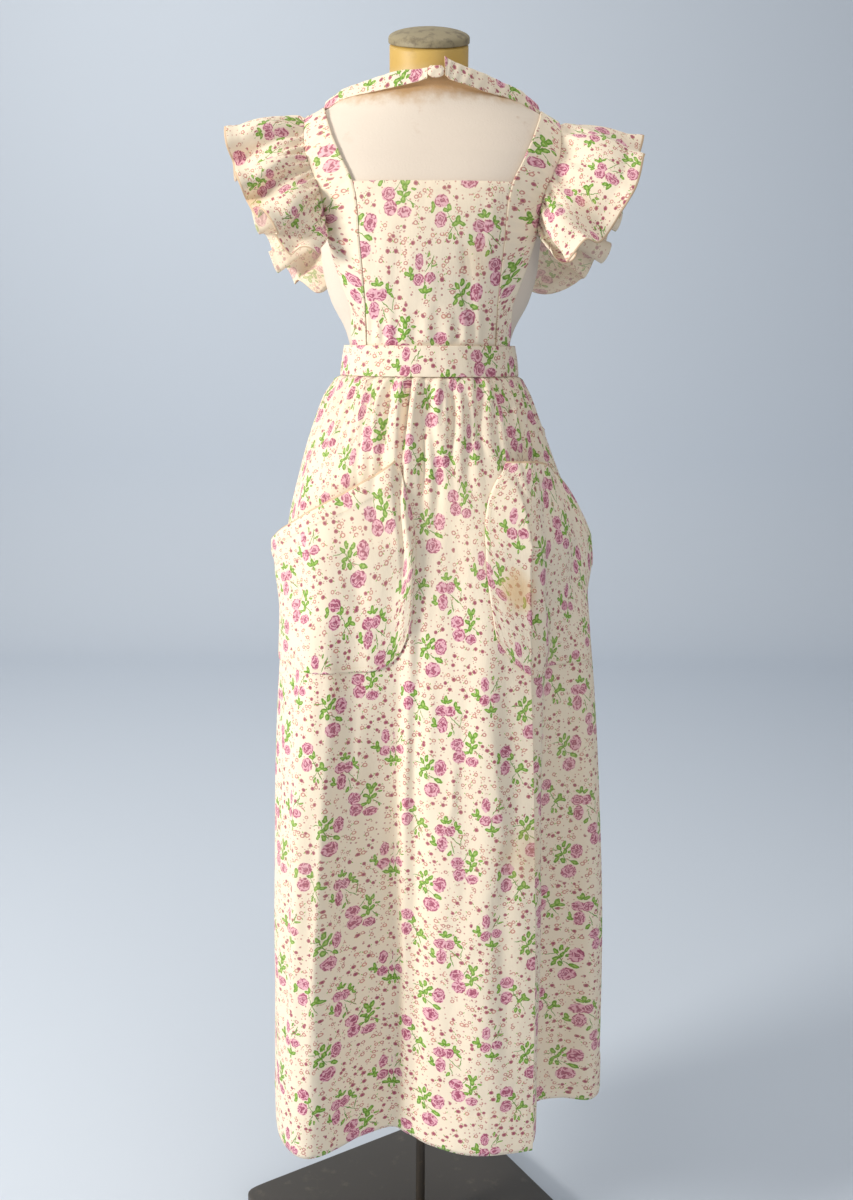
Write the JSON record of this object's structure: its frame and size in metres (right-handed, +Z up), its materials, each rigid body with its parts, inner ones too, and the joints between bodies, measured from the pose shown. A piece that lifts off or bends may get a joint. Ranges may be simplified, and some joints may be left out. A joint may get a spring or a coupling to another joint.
{
  "type": "pinafore dress on a dress form stand",
  "caption": "Sleeveless floral cotton maxi pinafore with shoulder ruffles, bib, gathered skirt and patch pockets, on a limbless dress form with a pole and square base.",
  "frame": {"origin": "the middle of the underside of the square base, on the floor, under the pole", "axes": "+Z up along the pole, -Y to the front of the dress, +X to the right of a viewer who faces the dress"},
  "size_m": [0.5594, 0.5594, 1.7356],
  "materials": {
    "print_cotton": "plain-weave cotton, cream with mauve roses, green leaves and small buds, a few yellow stains",
    "button_shell": "small cream button",
    "form_canvas": "smooth beige canvas over a hard shell, brown stains by the neck",
    "neck_paint": "worn yellow paint on wood",
    "cap_wood": "grey-brown weathered wood",
    "pole_steel": "dark worn steel tube",
    "base_paint": "charcoal painted board with worn specks"
  },
  "bodies": {
    "root": {"bib_center": "print_cotton", "strap_left": "print_cotton", "strap_right": "print_cotton", "ruffle_left": "print_cotton", "ruffle_right": "print_cotton", "waistband": "print_cotton", "skirt": "print_cotton", "pocket_left": "print_cotton", "pocket_right": "print_cotton", "tie_left": "print_cotton", "tie_right": "print_cotton", "tie_knot": "print_cotton", "waist_button": "button_shell", "form_torso": "form_canvas", "neck_band": "neck_paint", "neck_cap": "cap_wood", "stand_pole": "pole_steel", "stand_base": "base_paint"}
  },
  "joints": []
}
